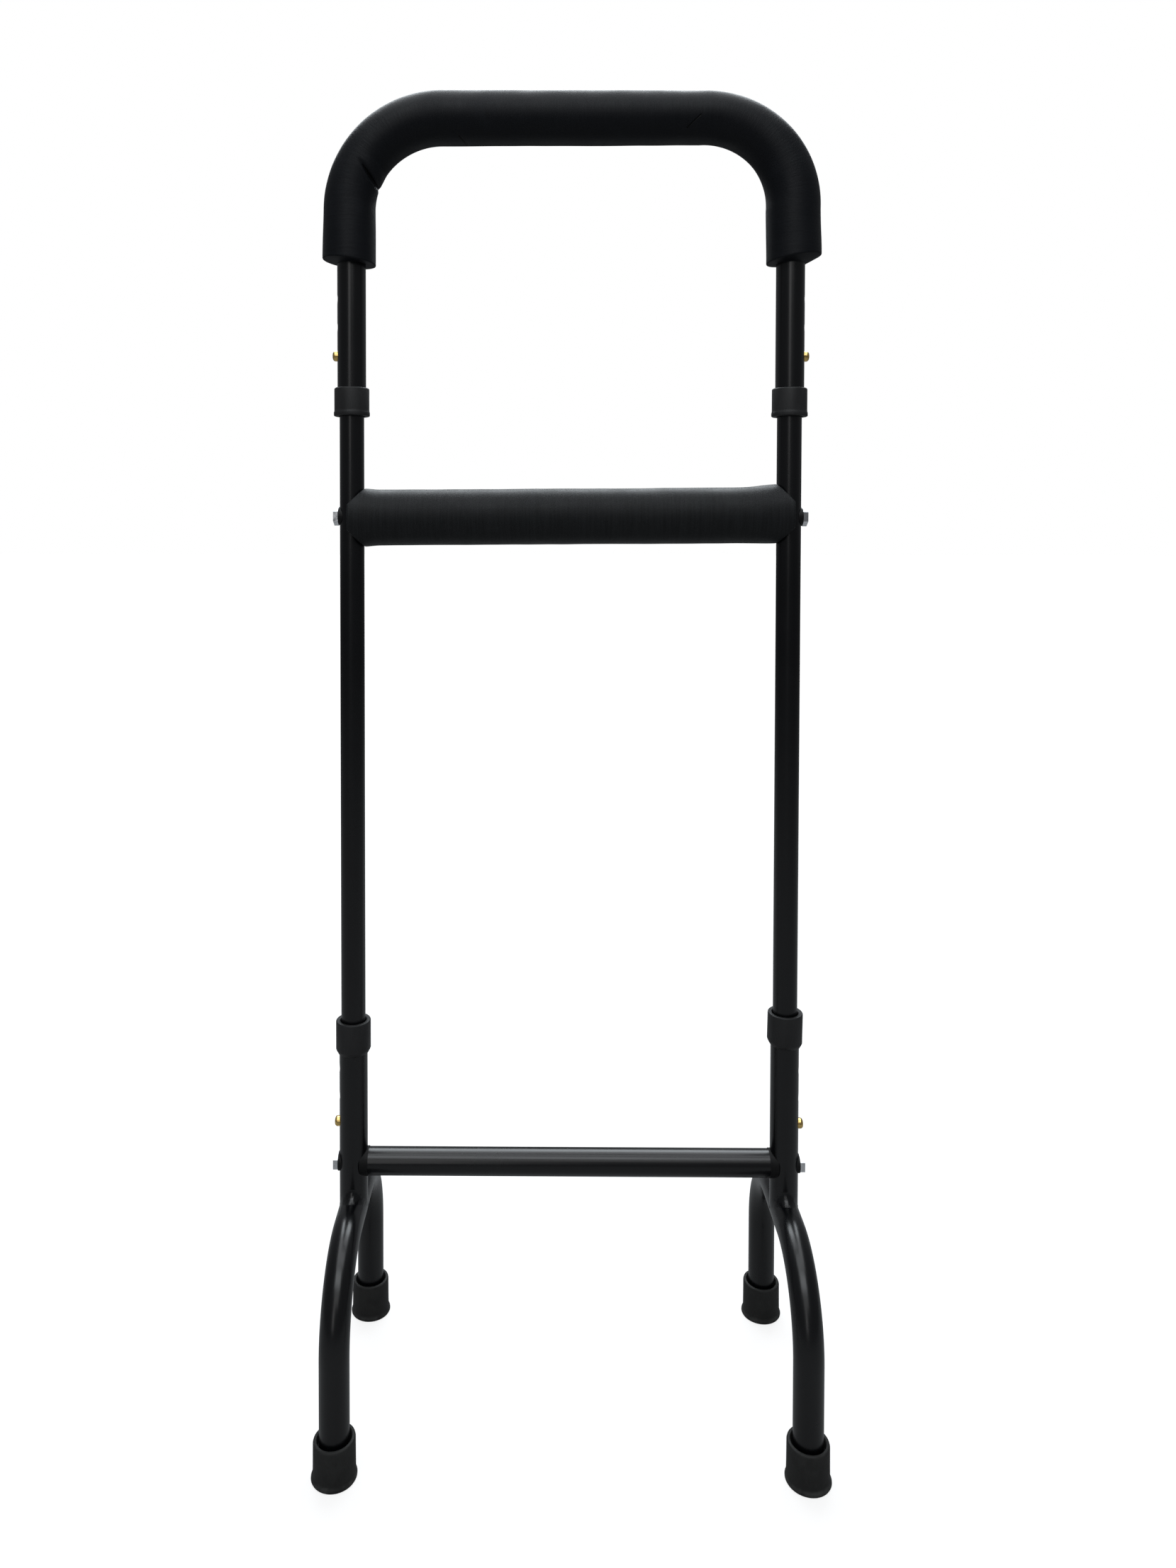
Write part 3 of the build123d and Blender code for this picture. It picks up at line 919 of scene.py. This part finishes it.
class GRABFRAME_OT_springs(bpy.types.Operator):
    """Make the leaf springs, whose front legs go in with their buttons"""

    bl_idname = "grabframe.springs"
    bl_label = "Leaf Springs"

    def execute(self, context):
        for hand, side in SIDES.items():
            for level in ("lower", "upper"):
                name = f"{level}_button_spring_{hand}"
                bm = bmesh.new()
                bm.from_mesh(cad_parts[name].data)
                piece = place(bm, f"leaf_{name}", "spring_steel", None, [name], 40.0)
                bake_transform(piece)
        return {"FINISHED"}


# ---------------------------------------------------------------- finishes on the frame's own parts


class GRABFRAME_OT_finishes(bpy.types.Operator):
    """Give every tube and fitting of the frame its finish"""

    bl_idname = "grabframe.finishes"
    bl_label = "Finishes"

    def execute(self, context):
        make_finishes(context.scene)
        for name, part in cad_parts.items():
            for slot in part.material_slots:
                wanted = slot.material.name.split(".")[0]
                if wanted not in FINISHES:
                    raise RuntimeError(f"{name} has the slot {wanted}, which has no finish")
                slot.material = FINISHES[wanted]
        return {"FINISHED"}


# ---------------------------------------------------------------- stage


# each soft light's name, place, target, size, how bright its face looks, and tint
SOFT_BOXES = (
    ("back soft box", (0.0, 1.60, 2.35), (0.0, 0.0, 0.5), (2.4, 1.3), 5.6, (0.90, 0.96, 1.0)),
    ("top soft box", (0.0, 0.1, 2.9), (0.0, 0.0, 0.5), (2.6, 2.0), 2.1, (0.94, 0.97, 1.0)),
    ("front soft box", (-0.1, -1.35, 2.35), (0.0, 0.0, 0.5), (1.9, 0.9), 3.1, (0.93, 0.97, 1.0)),
    ("low front soft box", (0.0, -2.1, 1.75), (0.0, 0.0, 0.5), (1.6, 0.6), 1.0, (1.0, 1.0, 1.0)),
    ("window", (-1.05, -5.6, 2.1), (0.0, 0.0, 0.85), (1.35, 2.4), 1.15, (1.0, 1.0, 1.0)),
)


def soft_box(name, at, target, size, radiance, tint):
    """A rectangular soft light whose face looks as bright as its radiance."""
    lamp = bpy.data.lights.new(name, "AREA")
    lamp.shape = "RECTANGLE"
    lamp.size, lamp.size_y = size
    lamp.energy = radiance * math.pi * size[0] * size[1]
    lamp.color = tint
    made = bpy.data.objects.new(name, lamp)
    made.location = at
    made.rotation_euler = (Vector(target) - Vector(at)).to_track_quat("-Z", "Y").to_euler()
    bpy.context.scene.collection.objects.link(made)


def make_floor(stage):
    """A wide pale floor with a faint grain. Its glow is only there to look at, and lights nothing."""
    bm = bmesh.new()
    bmesh.ops.create_grid(bm, x_segments=2, y_segments=2, size=stage.floor_size / 2)
    mesh = bpy.data.meshes.new("studio_floor")
    bm.to_mesh(mesh)
    bm.free()
    finish, tree, shader = new_finish(
        "studio floor", Roughness=0.85, Specular_IOR_Level=0.1,
        Emission_Color=(1.0, 1.0, 1.0, 1.0),
    )
    at = object_coordinates(tree)
    haze = grain(tree, at, 3.0, 3.0)
    distance = add(tree, "ShaderNodeVectorMath", {0: at}, operation="LENGTH").outputs["Value"]
    colour = tuple(stage.floor_colour)
    seen = add(tree, "ShaderNodeLightPath", {}).outputs["Is Camera Ray"]
    near_glow, far_glow, glow_start, glow_end = 0.79, 1.07, 0.5, 5.0
    fill = between(tree, distance, near_glow, far_glow, glow_start, glow_end)
    glow = add(tree, "ShaderNodeMath", {0: fill, 1: seen}, operation="MULTIPLY").outputs[0]
    link(
        tree, shader,
        Base_Color=mixed(tree, haze, tinted(colour, 0.99), tinted(colour, 1.01)),
        Emission_Strength=glow,
    )
    mesh.materials.append(finish)
    floor = bpy.data.objects.new("studio_floor", mesh)
    bpy.context.scene.collection.objects.link(floor)


def make_surroundings():
    """A white studio to look at, which the object sees as dim in front and bright behind."""
    world = bpy.data.worlds.new("studio")
    bpy.context.scene.world = world
    world.use_nodes = True
    tree = world.node_tree
    tree.nodes.clear()
    towards = add(tree, "ShaderNodeTexCoord", {}).outputs["Generated"]
    back = add(tree, "ShaderNodeSeparateXYZ", {"Vector": towards}).outputs["Y"]
    in_front, behind = 0.15, 0.20
    level = between(tree, back, in_front, behind, -0.35, 0.75)
    around = add(tree, "ShaderNodeBackground", {"Color": (0.93, 0.96, 1.0, 1.0), "Strength": level})
    seen = add(tree, "ShaderNodeBackground", {"Color": (1.0, 1.0, 1.0, 1.0), "Strength": 1.0})
    direct = add(tree, "ShaderNodeLightPath", {}).outputs["Is Camera Ray"]
    either = add(tree, "ShaderNodeMixShader", {0: direct, 1: around.outputs[0], 2: seen.outputs[0]})
    out = add(tree, "ShaderNodeOutputWorld", {})
    tree.links.new(either.outputs[0], out.inputs["Surface"])


class GRABFRAME_OT_stage(bpy.types.Operator):
    """Set up the pale floor, the soft lights and the camera"""

    bl_idname = "grabframe.stage"
    bl_label = "Stage"

    def execute(self, context):
        stage = context.scene.grab_frame_stage
        make_floor(stage)
        make_surroundings()
        for lamp in SOFT_BOXES:
            soft_box(*lamp)

        data = bpy.data.cameras.new("studio camera")
        data.sensor_width = 36.0
        data.lens = stage.lens
        data.shift_x, data.shift_y = stage.shift
        data.clip_start, data.clip_end = 0.02, 100.0
        data.dof.use_dof = False
        camera = bpy.data.objects.new("studio camera", data)
        camera.matrix_world = (
            Matrix.Translation(stage.camera_at)
            @ Matrix.Rotation(-stage.camera_yaw, 4, "Z")
            @ Matrix.Rotation(math.pi / 2 - stage.camera_pitch, 4, "X")
            @ Matrix.Rotation(-stage.camera_roll, 4, "Z")
        )
        context.scene.collection.objects.link(camera)
        bpy.context.scene.camera = camera
        context.scene.view_settings.view_transform = "Standard"
        return {"FINISHED"}


# ---------------------------------------------------------------- registration

STEPS = (
    GRABFRAME_OT_finishes,
    GRABFRAME_OT_handle_foam,
    GRABFRAME_OT_crossbar_foam,
    GRABFRAME_OT_feet,
    GRABFRAME_OT_collars,
    GRABFRAME_OT_welds,
    GRABFRAME_OT_bolts,
    GRABFRAME_OT_springs,
    GRABFRAME_OT_stage,
)


class GRABFRAME_PT_sidebar(bpy.types.Panel):
    bl_idname = "GRABFRAME_PT_sidebar"
    bl_label = "Grab Frame"
    bl_space_type = "VIEW_3D"
    bl_region_type = "UI"
    bl_category = "Grab Frame"

    def draw(self, context):
        for group in ("grab_frame_foam", "grab_frame_finish", "grab_frame_stage"):
            settings = getattr(context.scene, group)
            box = self.layout.box()
            for name in settings.__annotations__:
                box.prop(settings, name)
        for step in STEPS:
            self.layout.operator(step.bl_idname)


SETTINGS = {
    "grab_frame_foam": GrabFrameFoam,
    "grab_frame_finish": GrabFrameFinish,
    "grab_frame_stage": GrabFrameStage,
}


def register():
    for made in (*SETTINGS.values(), *STEPS, GRABFRAME_PT_sidebar):
        bpy.utils.register_class(made)
    for name, settings in SETTINGS.items():
        setattr(bpy.types.Scene, name, bpy.props.PointerProperty(type=settings))


def unregister():
    for name in SETTINGS:
        delattr(bpy.types.Scene, name)
    for made in (GRABFRAME_PT_sidebar, *reversed(STEPS), *SETTINGS.values()):
        bpy.utils.unregister_class(made)


def main():
    register()
    for step in STEPS:
        area, name = step.bl_idname.split(".")
        getattr(getattr(bpy.ops, area), name)()


if __name__ == "__main__":
    main()
